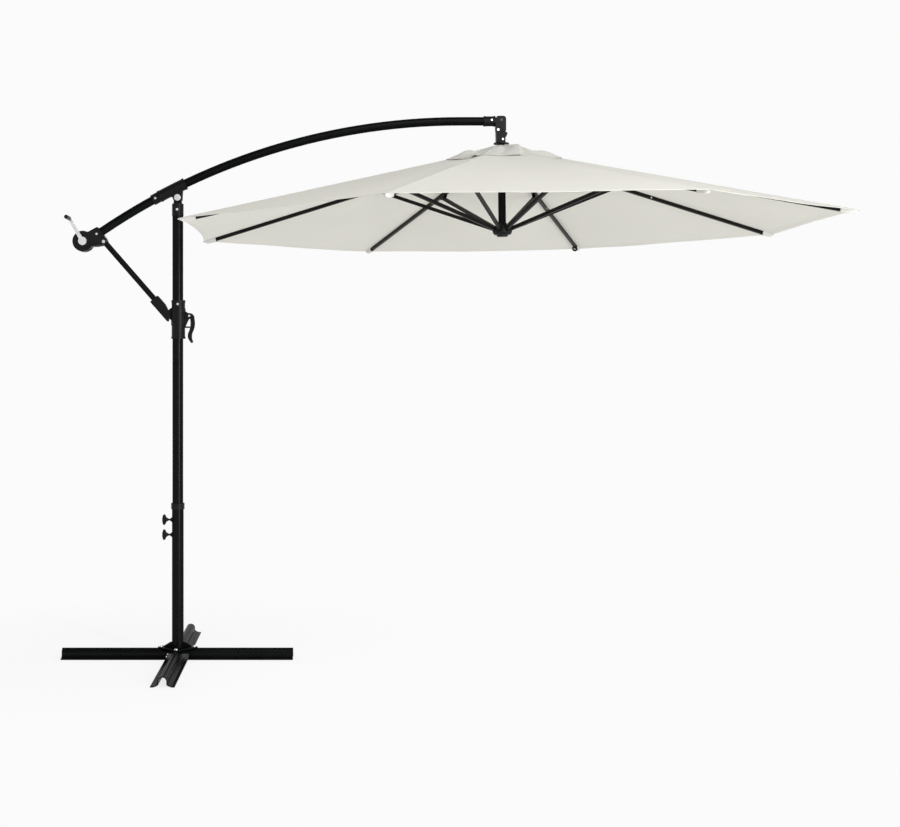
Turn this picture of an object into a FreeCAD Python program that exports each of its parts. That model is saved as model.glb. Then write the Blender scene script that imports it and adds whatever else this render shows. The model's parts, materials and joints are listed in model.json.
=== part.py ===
import FreeCAD, Part
import math
import os
from FreeCAD import Vector

# Cantilever parasol, 3 m octagonal canopy. Millimetres.
# Frame: origin on the ground on the mast axis, +X along the arm, +Z up.

# --- ground frame and mast ---
side_span = 1030.0
front_span = 1180.0
bar_half_width = 50.0
bar_height = 45.0
bar_wall = 4.5
bar_crown_radius = 21.0
bar_lap_height = 22.0
plate_side = 130.0
plate_wall = 5.0
bolt_circle = 74.0
base_tube_radius = 26.0
base_tube_top = 684.0
mast_radius = 24.0
mast_wall = 1.6
mast_foot = 330.0
mast_top = 2014.0
mast_fit = 0.06
knob_heights = {"upper": 617.0, "lower": 550.0}

# --- arm: one circular arc with a level end, pivoting on the mast head ---
arm_pivot_z = 2054.0
arm_apex_x = 1262.0
arm_apex_z = 2396.0
arm_bend = 2850.0
arm_radius = 19.0
arm_wall = 1.5
arm_split_x = -20.0
arm_rear_x = -372.0
pole_x = 1445.0
elbow_back = 27.0
elbow_front = 19.5
arm_end_x = pole_x - elbow_back - 0.3

# --- crank housing on the arm's rear end, and the strut below it ---
crank_x = -420.0
crank_z = 1859.0
housing_radius = 46.0
housing_half = 29.0
crank_length = 115.0
crank_lean = 120.0
strut_top_x = -327.0
strut_top_z = 1857.0
strut_foot_x = -46.0
strut_foot_z = 1535.0
strut_radius = 12.5
strut_wall = 1.4
strut_play = 0.6
lug_half = 7.5
lug_play = 0.4
foot_pin_radius = 5.0
strut_directions = (-155, -140, -120, -100, -70, -28)

# --- slider on the mast ---
slider_top = 1597.0
slider_bottom = 1425.0
slider_radius = 30.0
slider_bore = 26.9
slider_offset = 2.5
lever_x = 52.0
lever_z = 1527.0

# --- canopy head, ribs and stretchers ---
swing_x = pole_x - 16.0
swing_z = 2356.0
head_split_z = 2350.0
canopy_count = 8
canopy_radius = 1500.0
canopy_tilt = 0.7
rib_slope = 13.2
rib_pivot_radius = 53.6
rib_pivot_z = 2265.0
rib_drop = 12.0
rib_depth = 16.0
rib_width = 13.0
rib_wall = 1.3
rib_start = 27.0
rib_end = 1452.0
attach_distance = 542.0
attach_drop = 18.0
runner_pivot_radius = 34.0
runner_pivot_z = rib_pivot_z - 352.0
stretcher_depth = 16.0
stretcher_width = 12.0
stretcher_wall = 1.3
stretcher_end_radius = 6.4
hinge_pin_radius = 3.0
pin_fit = 0.05
slot_width = 11.0
hub_radius = 64.0
runner_radius = 44.5
runner_boss_radius = 21.0
pole_radius = 17.0
pole_wall = 1.5
pole_play = 1.5
fabric = 1.2
fabric_gap = 0.5
fabric_lift = 2.2
vent_radius = 250.0
vent_rise = 16.0

lap_gap = 0.4
Y_AXIS = Vector(0, 1, 0)
Z_AXIS = Vector(0, 0, 1)


def at(x, y, z):
    return Vector(x, y, z)


def rod(start, end, radius):
    """Solid cylinder between two points."""
    return Part.makeCylinder(radius, (end - start).Length, start, end - start)


def tube(start, end, outer, inner):
    return rod(start, end, outer).cut(rod(start, end, inner))


def pin_y(x, z, y_from, y_to, radius):
    """Cylinder along Y at (x, z)."""
    return rod(at(x, y_from, z), at(x, y_to, z), radius)


def block(x_from, x_to, y_from, y_to, z_from, z_to):
    return Part.makeBox(x_to - x_from, y_to - y_from, z_to - z_from, at(x_from, y_from, z_from))


def rounded_edges(points, radius):
    """Closed run of edges through (a, b) points with every corner rounded."""
    count = len(points)
    starts = []
    ends = []
    middles = []
    for i in range(count):
        corner = Vector(points[i][0], points[i][1], 0)
        before = Vector(points[i - 1][0], points[i - 1][1], 0) - corner
        after = Vector(points[(i + 1) % count][0], points[(i + 1) % count][1], 0) - corner
        half = before.getAngle(after) / 2
        back = min(radius / math.tan(half), 0.45 * min(before.Length, after.Length))
        bend = back * math.tan(half)
        before.normalize()
        after.normalize()
        inward = (before + after).normalize()
        centre = corner + inward * (bend / math.sin(half))
        starts.append(corner + before * back)
        ends.append(corner + after * back)
        middles.append(centre - inward * bend)
    edges = []
    for i in range(count):
        edges.append((starts[i], middles[i], ends[i]))
        edges.append((ends[i], None, starts[(i + 1) % count]))
    return edges


def outline_face(points, radius, place):
    """Flat face of a rounded outline, with place() mapping (a, b) into space."""
    edges = []
    for start, middle, end in rounded_edges(points, radius):
        a = place(start.x, start.y)
        b = place(end.x, end.y)
        if (a - b).Length < 1e-6:
            continue
        if middle is None:
            edges.append(Part.LineSegment(a, b).toShape())
        else:
            edges.append(Part.Arc(a, place(middle.x, middle.y), b).toShape())
    return Part.Face(Part.Wire(edges))


def plate_xz(points, radius, y_from, y_to):
    """Rounded outline in the XZ plane, extruded along Y."""
    face = outline_face(points, radius, lambda a, b: at(a, y_from, b))
    return face.extrude(at(0, y_to - y_from, 0))


def shell_z(points, radius, z_from, z_to):
    """Rounded outline in the XY plane, extruded along Z."""
    face = outline_face(points, radius, lambda a, b: at(a, b, z_from))
    return face.extrude(at(0, 0, z_to - z_from))


def soft_edges(shape, radius, pick):
    """Rounds the edges that pick() accepts."""
    edges = [edge for edge in shape.Edges if pick(edge)]
    return shape.makeFillet(radius, edges) if edges else shape


def fused(*shapes):
    return shapes[0].multiFuse(list(shapes[1:])).removeSplitter()


def save(name, *solids):
    """One STEP per node. A node may hold several separate solids."""
    parts = []
    for shape in solids:
        parts.extend(shape.Solids)
    for part in parts:
        if not part.isValid():
            raise ValueError("invalid solid in " + name)
    shape = parts[0] if len(parts) == 1 else Part.makeCompound(parts)
    shape.exportStep("parts/" + name + ".step")


# ---------------------------------------------------------------- base

def bar_profile():
    """Hat section: a round crown between two wings that slope to the ground."""
    crown_z = bar_height - bar_crown_radius
    outer = bar_crown_radius
    inner = bar_crown_radius - bar_wall
    wing_root = 9.0
    lip = bar_wall
    lip_in = bar_half_width - 12.0
    inner_root = wing_root - bar_wall + 1.0
    edges = []

    def line(p, q):
        edges.append(Part.LineSegment(at(0, *p), at(0, *q)).toShape())

    def arc(p, q, r):
        edges.append(Part.Arc(at(0, *p), at(0, *q), at(0, *r)).toShape())

    flare = outer + 6.0
    line((-bar_half_width, 0), (-bar_half_width, lip))
    line((-bar_half_width, lip), (-lip_in, lip))
    line((-lip_in, lip), (-flare, wing_root))
    line((-flare, wing_root), (-outer, wing_root + 6))
    line((-outer, wing_root + 6), (-outer, crown_z))
    arc((-outer, crown_z), (0, bar_height), (outer, crown_z))
    line((outer, crown_z), (outer, wing_root + 6))
    line((outer, wing_root + 6), (flare, wing_root))
    line((flare, wing_root), (lip_in, lip))
    line((lip_in, lip), (bar_half_width, lip))
    line((bar_half_width, lip), (bar_half_width, 0))
    line((bar_half_width, 0), (lip_in, 0))
    line((lip_in, 0), (outer + 2, inner_root))
    line((outer + 2, inner_root), (inner, inner_root + 5))
    line((inner, inner_root + 5), (inner, crown_z))
    arc((inner, crown_z), (0, crown_z + inner), (-inner, crown_z))
    line((-inner, crown_z), (-inner, inner_root + 5))
    line((-inner, inner_root + 5), (-outer - 2, inner_root))
    line((-outer - 2, inner_root), (-lip_in, 0))
    line((-lip_in, 0), (-bar_half_width, 0))
    return Part.Face(Part.Wire(edges))


def base_bar(span):
    bar = bar_profile().extrude(at(span, 0, 0))
    bar.translate(at(-span / 2, 0, 0))
    return bar


def bolt_places():
    return [(bolt_circle * math.cos(math.radians(a)), bolt_circle * math.sin(math.radians(a)))
            for a in range(0, 360, 90)]


def drill_bolts(shape, radius):
    for x, y in bolt_places():
        shape = shape.cut(rod(at(x, y, 5), at(x, y, 90), radius))
    return shape


def make_base():
    reach = bar_half_width + lap_gap
    side_bar = base_bar(side_span).cut(block(-reach, reach, -reach, reach, -1, bar_lap_height))
    front_bar = base_bar(front_span).rotate(at(0, 0, 0), Z_AXIS, 90)
    crown = bar_crown_radius + lap_gap
    front_bar = front_bar.cut(block(-60, 60, -crown, crown, bar_lap_height, 60))
    save("base_bar_side", drill_bolts(side_bar, 4.2))
    save("base_bar_front", drill_bolts(front_bar, 4.2))

    top = bar_height + plate_wall
    half = plate_side / 2
    plate = shell_z([(-half, -half), (half, -half), (half, half), (-half, half)], 8, bar_height, top)
    plate.rotate(at(0, 0, 0), Z_AXIS, 45)
    rib_outline = [(base_tube_radius - 1, top - 1), (62, top - 1), (62, top + 4),
                   (base_tube_radius + 6, top + 22), (base_tube_radius - 1, top + 22)]
    for turn in range(4):
        gusset = plate_xz(rib_outline, 2, -3, 3)
        gusset.rotate(at(0, 0, 0), Z_AXIS, 90 * turn)
        plate = plate.fuse(gusset)
    weld_ring = tube(at(0, 0, top - 1), at(0, 0, top + 6), base_tube_radius + 4, base_tube_radius)
    plate = fused(plate, weld_ring).cut(rod(at(0, 0, 40), at(0, 0, 90), base_tube_radius))
    save("base_plate", drill_bolts(plate, 4.2))

    bolts = []
    for x, y in bolt_places():
        shank = rod(at(x, y, 24), at(x, y, top), 4)
        head = Part.makeCone(8, 5.5, 5, at(x, y, top))
        nut = tube(at(x, y, 28), at(x, y, 34), 6.5, 4)
        bolts.append(fused(shank, head))
        bolts.append(nut)
    save("base_bolts", *bolts)


def make_base_tube():
    inner = mast_radius + mast_fit
    column = tube(at(0, 0, bar_height), at(0, 0, base_tube_top), base_tube_radius, inner)
    stop = tube(at(0, 0, mast_foot - 6), at(0, 0, mast_foot), inner, inner - 8)
    column = fused(column, stop)
    bosses = []
    for z in knob_heights.values():
        hole = rod(at(-60, 0, z), at(0, 0, z), 4 + pin_fit)
        column = column.cut(hole)
        cone = Part.makeCone(13, 5.5, 10, at(-base_tube_radius + 2, 0, z), at(-1, 0, 0))
        bosses.append(cone.cut(rod(at(0, 0, z - 30), at(0, 0, z + 30), base_tube_radius)).cut(hole))
    save("base_tube", column)
    save("clamp_bosses", *bosses)

    low = base_tube_top - 20
    high = base_tube_top + 8
    collar = tube(at(0, 0, low), at(0, 0, high), 30, base_tube_radius)
    lip = tube(at(0, 0, base_tube_top), at(0, 0, high), 30, mast_radius + 0.3)
    groove = tube(at(0, 0, low + 12), at(0, 0, low + 15), 31, 29)
    collar = soft_edges(fused(collar, lip), 2.0, lambda e: outer_ring(e, 30))
    save("base_collar", collar.cut(groove))


def outer_ring(edge, radius):
    curve = edge.Curve
    return hasattr(curve, "Radius") and abs(curve.Radius - radius) < 0.01 and edge.isClosed()


def make_knob(level):
    """Wing screw: a steel stud through the boss with a flared two-lobed grip."""
    z = knob_heights[level]
    stud = rod(at(-50, 0, z), at(-mast_radius - 0.3, 0, z), 4)
    hub = Part.makeCone(4.5, 9, 14, at(-40, 0, z), at(-1, 0, 0))
    wing = plate_xz([(-42, z - 5), (-50, z - 9), (-57, z - 23), (-65, z - 23), (-69, z - 8),
                     (-69, z + 8), (-65, z + 23), (-57, z + 23), (-50, z + 9), (-42, z + 5)], 4, -7, 7)
    grip = fused(wing, hub).cut(rod(at(-50, 0, z), at(-24, 0, z), 4))
    save("clamp_knob_" + level, grip, stud)


# ---------------------------------------------------------------- mast

def make_mast():
    inner = mast_radius - mast_wall
    cap_low = 1973.0
    cap_high = 2027.0
    sleeve = tube(at(0, 0, cap_low), at(0, 0, cap_high), mast_radius + 1.8, mast_radius)
    lid = rod(at(0, 0, mast_top), at(0, 0, cap_high), mast_radius + 1.8)
    neck = plate_xz([(-19, cap_high - 4), (19, cap_high - 4), (16, arm_pivot_z),
                     (7, arm_pivot_z + 15.5), (-7, arm_pivot_z + 15.5), (-16, arm_pivot_z)], 7, -10, 10)
    head = fused(sleeve, lid, neck)
    head = head.cut(pin_y(0, arm_pivot_z, -40, 40, 7 + pin_fit))
    screw_z = 2000.0
    screw = fused(pin_y(0, screw_z, -29, 29, 3), pin_y(0, screw_z, -31, -26, 5.5),
                  pin_y(0, screw_z, 26, 31, 5.5))
    hole = pin_y(0, screw_z, -40, 40, 3)
    heads = fused(pin_y(0, screw_z, -31, -25.2, 5.5), pin_y(0, screw_z, 25.2, 31, 5.5))
    save("mast_head", head.cut(hole).cut(heads))
    mast = tube(at(0, 0, mast_foot), at(0, 0, mast_top), mast_radius, inner)
    save("mast_tube", mast.cut(hole).cut(heads))
    save("mast_head_screw", screw)


# ---------------------------------------------------------------- arm

arm_centre = at(arm_apex_x, 0, arm_apex_z - arm_bend)


def arm_angle(x):
    """Angle of the arm's arc above level, in degrees, at a distance x from the mast."""
    return math.degrees(math.asin((arm_apex_x - x) / arm_bend))


def arm_z(x):
    return arm_centre.z + arm_bend * math.cos(math.radians(arm_angle(x)))


def arm_solid(radius, x_from, x_to):
    """Solid round bar along the arm's arc."""
    lean = arm_angle(x_from)
    centre = at(x_from, 0, arm_z(x_from))
    normal = at(math.cos(math.radians(lean)), 0, math.sin(math.radians(lean)))
    face = Part.Face(Part.Wire(Part.makeCircle(radius, centre, normal)))
    return face.revolve(arm_centre, Y_AXIS, lean - arm_angle(x_to))


def arm_tube(outer, inner, x_from, x_to):
    return arm_solid(outer, x_from, x_to).cut(arm_solid(inner, x_from, x_to))


def make_arm_tubes():
    bore = arm_radius - arm_wall
    save("arm_rear_tube", arm_tube(arm_radius, bore, arm_rear_x, arm_split_x).cut(arm_rivet_holes()))
    curve = arm_tube(arm_radius, bore, arm_split_x + 0.2, arm_apex_x)
    level = tube(at(arm_apex_x, 0, arm_apex_z), at(arm_end_x, 0, arm_apex_z), arm_radius, bore)
    save("arm_front_tube", fused(curve, level).cut(arm_rivet_holes()))


def arm_rivet_places():
    """(x, z, half length) of the rivets along the arm."""
    places = []
    for x, half in ((-98.0, 24.0), (-358.0, housing_half + 1.0)):
        places.append((x, arm_z(x), half))
    places.append((pole_x - 45.0, arm_apex_z + 3.0, 23.5))
    return places


def arm_rivet_holes():
    holes = [pin_y(x, z, -half - 5, half + 5, 3) for x, z, half in arm_rivet_places()]
    return Part.makeCompound(holes)


def make_arm_joint():
    """T fitting: a sleeve round the arm with two cheeks down to the pivot."""
    sleeve = arm_solid(25.5, -82, 34)
    collar = arm_solid(24.0, -112, -80)
    rims = fused(arm_solid(27, -82, -74), arm_solid(27, 26, 34))
    body = fused(sleeve, collar, rims)
    bottom = arm_pivot_z
    cheek = [(-62, arm_z(-62) - 8), (-50, bottom + 12), (-22, bottom + 2), (-19, bottom - 10),
             (-10, bottom - 20), (10, bottom - 20), (20, bottom - 10), (21, bottom + 14),
             (24, arm_z(24) - 8)]
    cheeks = fused(plate_xz(cheek, 6, -19, -10.4), plate_xz(cheek, 6, 10.4, 19))
    body = fused(body, cheeks)
    body = body.cut(arm_solid(arm_radius, -114, 36))
    body = body.cut(pin_y(0, arm_pivot_z, -40, 40, 7))
    save("arm_joint", body.cut(arm_rivet_holes()))
    bolt = fused(pin_y(0, arm_pivot_z, -22, 22, 7), pin_y(0, arm_pivot_z, -22, -19, 14.5),
                 pin_y(0, arm_pivot_z, 19, 22, 14.5), pin_y(0, arm_pivot_z, -26, -22, 8),
                 pin_y(0, arm_pivot_z, 22, 27, 8))
    save("arm_pivot_bolt", bolt)
    rivets = []
    for x, z, half in arm_rivet_places():
        rivets.append(fused(pin_y(x, z, -half, half, 3), pin_y(x, z, -half - 1.8, -half, 5),
                            pin_y(x, z, half, half + 1.8, 5)))
    save("arm_rivets", *rivets)


def along(start_x, start_z, angle, distance, side):
    """Point at a distance along a direction in XZ, and to its left side."""
    a = math.radians(angle)
    return (start_x + distance * math.cos(a) - side * math.sin(a),
            start_z + distance * math.sin(a) + side * math.cos(a))


def make_crank_housing():
    """Two moulded shells with the cord spool between them, clamped on the arm's end."""
    lean = arm_angle(-380)
    front = -340.0
    disc = pin_y(crank_x, crank_z, -housing_half, housing_half, housing_radius)
    rear = (crank_x, crank_z)
    mouth = (front, arm_z(front))
    wrap = plate_xz([along(*rear, lean + 2, 0, 26), along(*rear, lean + 2, 0, -30),
                     along(*mouth, lean, -52, -44), along(strut_top_x, strut_top_z, -60, 15, 0),
                     along(strut_top_x, strut_top_z, 0, 15, 0), along(strut_top_x, strut_top_z, 60, 17, 0),
                     along(*mouth, lean, 0, -24), along(*mouth, lean, 0, 25)], 7,
                    -housing_half, housing_half)
    body = fused(disc, wrap)
    body = body.cut(arm_solid(arm_radius, arm_rear_x, -300))
    body = body.cut(pin_y(crank_x, crank_z, -18, 18, 39))
    body = body.cut(pin_y(crank_x, crank_z, -60, 60, 8 + pin_fit))
    slot_half = strut_radius + strut_play
    fan = [(strut_top_x, strut_top_z)]
    fan += [along(strut_top_x, strut_top_z, a, 90, 0) for a in strut_directions]
    body = body.cut(plate_xz(fan, 0.5, -slot_half, slot_half))
    body = body.cut(pin_y(strut_top_x, strut_top_z, -slot_half, slot_half, 19))
    body = body.cut(pin_y(strut_top_x, strut_top_z, -60, 60, 5 + pin_fit))
    ring = pin_y(crank_x, crank_z, -housing_half - 1, -housing_half + 2, 34)
    ring = ring.cut(pin_y(crank_x, crank_z, -60, 60, 29))
    body = body.cut(ring).cut(arm_rivet_holes())
    far = 700
    front_half = block(-far, 0, -60, 0, 1600, 2200)
    rear_half = block(-far, 0, 0, 60, 1600, 2200)
    save("crank_housing_front", body.common(front_half))
    save("crank_housing_rear", body.common(rear_half))


def make_crank():
    drum = fused(pin_y(crank_x, crank_z, -17, 17, 22), pin_y(crank_x, crank_z, -17, -14.5, 37),
                 pin_y(crank_x, crank_z, 14.5, 17, 37))
    spindle = pin_y(crank_x, crank_z, -40, 33, 8)
    save("cord_spool", drum.cut(spindle))
    hub = pin_y(crank_x, crank_z, -41, -housing_half - 0.5, 18.5)
    far = along(crank_x, crank_z, crank_lean, crank_length, 0)
    handle = plate_xz([along(crank_x, crank_z, crank_lean, 0, 9), along(crank_x, crank_z, crank_lean, 0, -9),
                       along(crank_x, crank_z, crank_lean, crank_length + 7, -6),
                       along(crank_x, crank_z, crank_lean, crank_length + 7, 6)], 5, -41, -35)
    stub = pin_y(far[0], far[1], -112, -35, 4)
    save("crank_arm", fused(hub, spindle, handle, stub))
    grip = pin_y(far[0], far[1], -121, -42, 9)
    grip = soft_edges(grip, 3, lambda e: outer_ring(e, 9))
    save("crank_grip", grip.cut(pin_y(far[0], far[1], -113, -30, 4 + pin_fit)))


def make_arm_end():
    """Sleeve and elbow at the arm's front end, with the cord pulley inside."""
    sleeve_from = pole_x - 79
    sleeve_to = pole_x - 27.5
    z = arm_apex_z
    sleeve = tube(at(sleeve_from, 0, z), at(sleeve_to, 0, z), 22.3, arm_radius)
    rims = fused(tube(at(sleeve_from, 0, z), at(sleeve_from + 7, 0, z), 23.6, arm_radius),
                 tube(at(sleeve_to - 8, 0, z), at(sleeve_to, 0, z), 24.2, arm_radius))
    save("arm_end_sleeve", fused(sleeve, rims).cut(arm_rivet_holes()))

    left = pole_x - elbow_back
    right = pole_x + elbow_front
    corner = plate_xz([(left, z - 22), (left, z + 22), (right, z + 22), (right, z - 22)], 14, -20, 20)
    foot = plate_xz([(pole_x - 26, z - 10), (right, z - 10), (right, head_split_z + 0.5),
                     (pole_x - 26, head_split_z + 0.5)], 3, -20, 20)
    foot = foot.fuse(pin_y(swing_x, swing_z, -20, 20, 10))
    body = fused(corner, foot)
    spigot = rod(at(pole_x - 60, 0, z), at(left + 2, 0, z), arm_radius - arm_wall)
    body = fused(body, spigot)
    knuckle = 11.6
    body = body.cut(block(left - 60, pole_x - 2, -knuckle, knuckle, swing_z - 13, swing_z + 12.5))
    body = body.cut(pin_y(pole_x - 1, z + 4, -7, 7, 15))
    body = body.cut(rod(at(pole_x - 70, 0, z + 12), at(pole_x, 0, z + 12), 3.5))
    body = body.cut(rod(at(pole_x, 0, z + 4), at(pole_x, 0, head_split_z - 5), 6))
    body = body.cut(pin_y(pole_x - 1, z + 4, -30, 30, 4 + pin_fit))
    body = body.cut(pin_y(swing_x, swing_z, -30, 30, 4 + pin_fit))
    save("elbow", body.cut(arm_rivet_holes()))
    px, pz = pole_x - 1, z + 4
    wheel = fused(pin_y(px, pz, -6, 6, 10), pin_y(px, pz, -6, -4, 13.5), pin_y(px, pz, 4, 6, 13.5))
    axle = fused(pin_y(px, pz, -22, 22, 4), pin_y(px, pz, -22, -20.3, 6), pin_y(px, pz, 20.3, 22, 6))
    save("cord_pulley", fused(wheel, axle))


# ---------------------------------------------------------------- strut and slider

def make_strut():
    angle = math.degrees(math.atan2(strut_foot_z - strut_top_z, strut_foot_x - strut_top_x))
    length = math.hypot(strut_foot_z - strut_top_z, strut_foot_x - strut_top_x)

    def spot(distance, side=0.0):
        return along(strut_top_x, strut_top_z, angle, distance, side)

    def spot3(distance, y=0.0):
        x, z = spot(distance)
        return at(x, y, z)

    tube_end = length - 60
    strut = fused(rod(spot3(0), spot3(tube_end), strut_radius), Part.makeSphere(strut_radius, spot3(0)))
    strut = strut.cut(rod(spot3(16), spot3(tube_end), strut_radius - strut_wall))
    save("strut_tube", strut.cut(pin_y(strut_top_x, strut_top_z, -60, 60, 5)))

    x, z = strut_foot_x, strut_foot_z
    sleeve = plate_xz([spot(length - 91, 22), spot(length - 38, 22), (x + 6, z + 12), (x + 10, z),
                       (x + 8, z - 13), spot(length + 32, -22), spot(length - 91, -22)], 4, -17, 17)
    fork = plate_xz([spot(length - 24, 40), spot(length + 60, 40), spot(length + 60, -40),
                     spot(length - 24, -40)], 3, -lug_half - lug_play, lug_half + lug_play)
    foot = sleeve.cut(fork).cut(rod(spot3(length - 130), spot3(tube_end + 0.2), strut_radius))
    save("strut_foot", foot.cut(pin_y(x, z, -30, 30, foot_pin_radius + pin_fit)))
    half = housing_half + 0.3
    top_pin = fused(pin_y(strut_top_x, strut_top_z, -half, half, 5),
                    pin_y(strut_top_x, strut_top_z, -half - 2, -half, 7),
                    pin_y(strut_top_x, strut_top_z, half, half + 2, 7))
    save("strut_pins", top_pin)


def make_slider():
    """Moulded bracket that slides on the mast, with a lug for the strut and ears for the lock lever."""
    x0 = slider_offset
    body = rod(at(x0, 0, slider_bottom), at(x0, 0, slider_top), slider_radius)
    rims = fused(rod(at(x0, 0, slider_bottom), at(x0, 0, slider_bottom + 9), slider_radius + 2),
                 rod(at(x0, 0, slider_top - 12), at(x0, 0, slider_top), slider_radius + 1.2))
    waist = rod(at(x0, 0, 1484), at(x0, 0, 1560), slider_radius + 2.5)
    x, z = strut_foot_x, strut_foot_z
    lug = plate_xz([(-10, z - 34), (x + 14, z - 26), (x - 2, z - 11), (x - 11, z - 5), (x - 11, z + 5),
                    (x - 2, z + 11), (x + 14, z + 26), (-10, z + 34)], 4, -lug_half, lug_half)
    foot_pin = pin_y(x, z, -16.5, 16.5, foot_pin_radius)
    lx, lz = lever_x, lever_z
    ear = [(20, lz + 30), (lx - 6, lz + 13), (lx + 9, lz + 8), (lx + 9, lz - 6), (lx - 4, lz - 17),
           (34, lz - 48), (20, lz - 48)]
    ears = fused(plate_xz(ear, 5, -12, -7.6), plate_xz(ear, 5, 7.6, 12))
    catch = plate_xz([(26, lz - 54), (lx + 2, lz - 54), (lx + 2, lz - 47), (26, lz - 47)], 2, -5, 5)
    body = fused(body, rims, waist, lug, foot_pin, ears, catch)
    body = body.cut(rod(at(x0, 0, slider_bottom - 5), at(x0, 0, slider_top + 5), slider_bore))
    body = body.cut(pin_y(lx, lz, -40, 40, 3.5))
    screws = [pin_y(x0, slider_top - 18, -slider_radius - 1.5, -slider_radius + 2, 5),
              pin_y(x0, slider_top - 18, slider_radius - 2, slider_radius + 1.5, 5)]
    save("slider_bracket", body.cut(Part.makeCompound(screws)))
    lever_pin = fused(pin_y(lx, lz, -12, 12, 3.5), pin_y(lx, lz, -13.5, -12, 5), pin_y(lx, lz, 12, 13.5, 5))
    save("slider_pins", lever_pin, *screws)

    def arc(p, q, r):
        return Part.Arc(at(lx + p[0], -7.2, lz + p[1]), at(lx + q[0], -7.2, lz + q[1]),
                        at(lx + r[0], -7.2, lz + r[1])).toShape()

    edges = [arc((-4, 12), (16, 6), (22, -12)), arc((22, -12), (24, -42), (16, -70)),
             arc((16, -70), (11, -92), (16, -114)), arc((16, -114), (11, -121), (4, -115)),
             arc((4, -115), (-7, -92), (-2, -70)), arc((-2, -70), (5, -38), (3, -12)),
             arc((3, -12), (-12, -4), (-4, 12))]
    lever = Part.Face(Part.Wire(edges)).extrude(at(0, 14.4, 0))
    lever = lever.cut(pin_y(lx, lz, -20, 20, 3.5 + pin_fit))
    save("lock_lever", lever)


# ---------------------------------------------------------------- canopy head

hub_centre = at(pole_x, 0, rib_pivot_z)


def tilted(shape):
    """The whole canopy hangs with a slight tilt about the top hub."""
    return shape.rotated(hub_centre, Y_AXIS, -canopy_tilt)


def rib_angles():
    return [360.0 / canopy_count * (i + 0.5) for i in range(canopy_count)]


def turned(shape, angle):
    """Turns a shape built along +X from the hub to a rib's own direction."""
    return tilted(shape.rotated(hub_centre, Z_AXIS, angle))


def radial(radius, side, height):
    """Point at a radius from the pole, off the rib's plane, above the top hub's pivots."""
    return at(pole_x + radius, side, rib_pivot_z + height)


def round_the_hub(shape):
    """Copies of a shape built along +X, one for each rib."""
    return [shape.rotated(hub_centre, Z_AXIS, angle) for angle in rib_angles()]


def make_canopy_head():
    z = rib_pivot_z
    disc = rod(at(pole_x, 0, z - 12), at(pole_x, 0, z + 9), hub_radius)
    crown = Part.makeCone(40, 22, 9, at(pole_x, 0, z + 9))
    socket = rod(at(pole_x, 0, z - 34), at(pole_x, 0, z - 12), 21)
    hub = fused(disc, crown, socket)
    hub = hub.cut(rod(at(pole_x, 0, z - 40), at(pole_x, 0, z - 10), pole_radius + pole_play))
    hub = hub.cut(rod(at(pole_x, 0, z - 20), at(pole_x, 0, z + 30), 5))
    pivot_x = pole_x + rib_pivot_radius
    slot = block(pivot_x - 17, pivot_x + 20, -slot_width / 2, slot_width / 2, z - 20, z + 20)
    hub = hub.cut(Part.makeCompound(round_the_hub(slot)))
    hub = fused(hub, *round_the_hub(pin_y(pivot_x, z, -9, 9, hinge_pin_radius)))
    save("top_hub", tilted(hub))

    top = head_split_z
    column = plate_xz([(pole_x - 25, top), (pole_x + 17, top), (pole_x + 16.5, z + 34),
                       (pole_x - 24, z + 34)], 3, -19, 19)
    latch = plate_xz([(pole_x + 10, top - 1), (pole_x + 23, top - 2), (pole_x + 27, top - 9),
                      (pole_x + 22, top - 22), (pole_x + 10, top - 30)], 4, -9, 9)
    knuckle = fused(pin_y(swing_x, swing_z, -11.2, 11.2, 9),
                    block(swing_x - 9, swing_x + 8, -11.2, 11.2, top - 8, swing_z))
    flange = rod(at(pole_x, 0, z + 28), at(pole_x, 0, z + 34), 34)
    neck = rod(at(pole_x, 0, z + 18), at(pole_x, 0, z + 30), 15)
    swing = fused(column, latch, knuckle, flange, neck)
    swing = swing.cut(rod(at(pole_x, 0, z), at(pole_x, 0, top + 20), 5))
    for side in (-1, 1):
        near, far = sorted((side * 11.3, side * 30))
        swing = swing.cut(pin_y(swing_x, swing_z, near, far, 10.6))
    swing = swing.cut(pin_y(swing_x, swing_z, -30, 30, 4))
    screw_x, screw_z = pole_x + 5, z + 49
    swing = swing.cut(pin_y(screw_x, screw_z, -40, 40, 3))
    swing = swing.cut(tilted(rod(at(pole_x, 0, z - 5), at(pole_x, 0, z + 18.0), 60)))
    save("swing_joint", swing)
    hinge = fused(pin_y(swing_x, swing_z, -22, 22, 4), pin_y(swing_x, swing_z, -22, -20.3, 6),
                  pin_y(swing_x, swing_z, 20.3, 22, 6))
    screw = fused(pin_y(screw_x, screw_z, -19, 19, 3), pin_y(screw_x, screw_z, -20.8, -19, 5),
                  pin_y(screw_x, screw_z, 19, 20.8, 5))
    save("elbow_pins", hinge, screw)


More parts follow.
